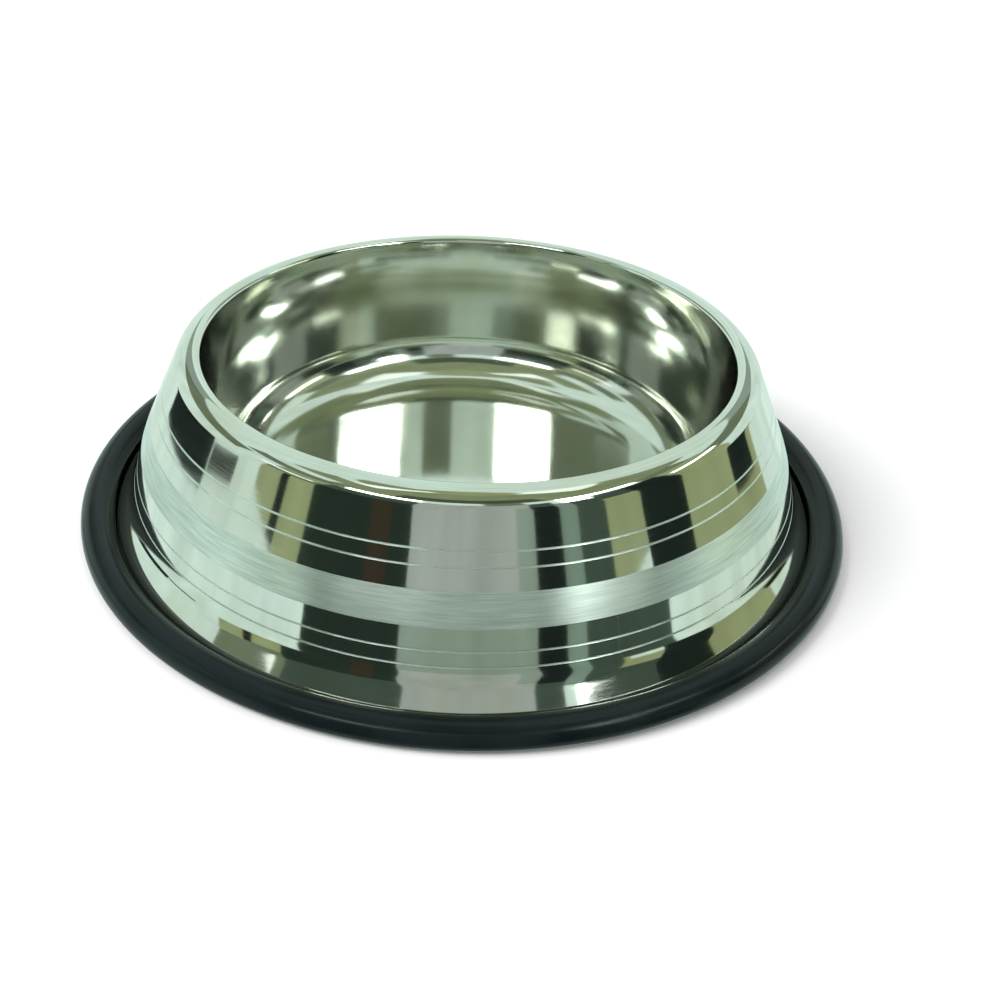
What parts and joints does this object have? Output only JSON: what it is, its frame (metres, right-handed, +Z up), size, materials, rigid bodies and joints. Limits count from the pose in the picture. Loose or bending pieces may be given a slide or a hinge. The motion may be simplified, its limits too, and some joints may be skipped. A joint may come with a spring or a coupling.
{
  "type": "stainless dog bowl",
  "caption": "Non-tip stainless steel dog bowl with a wide flared skirt, a rolled rim, a satin band and turned lines, standing in a black rubber anti-skid ring.",
  "frame": {"origin": "centre of the rubber ring's flat underside, on the surface that the bowl stands on", "axes": "+Z up, along the bowl's axis of revolution; X and Y are any two level directions square to each other"},
  "size_m": [0.27, 0.27, 0.061],
  "materials": {
    "stainless_steel": "mirror-polished stainless steel sheet with a satin-ground band and fine turned lines round the skirt",
    "black_rubber": "moulded black rubber, semi-gloss"
  },
  "bodies": {
    "root": {"steel_bowl": "stainless_steel", "rubber_ring": "black_rubber"}
  },
  "joints": []
}
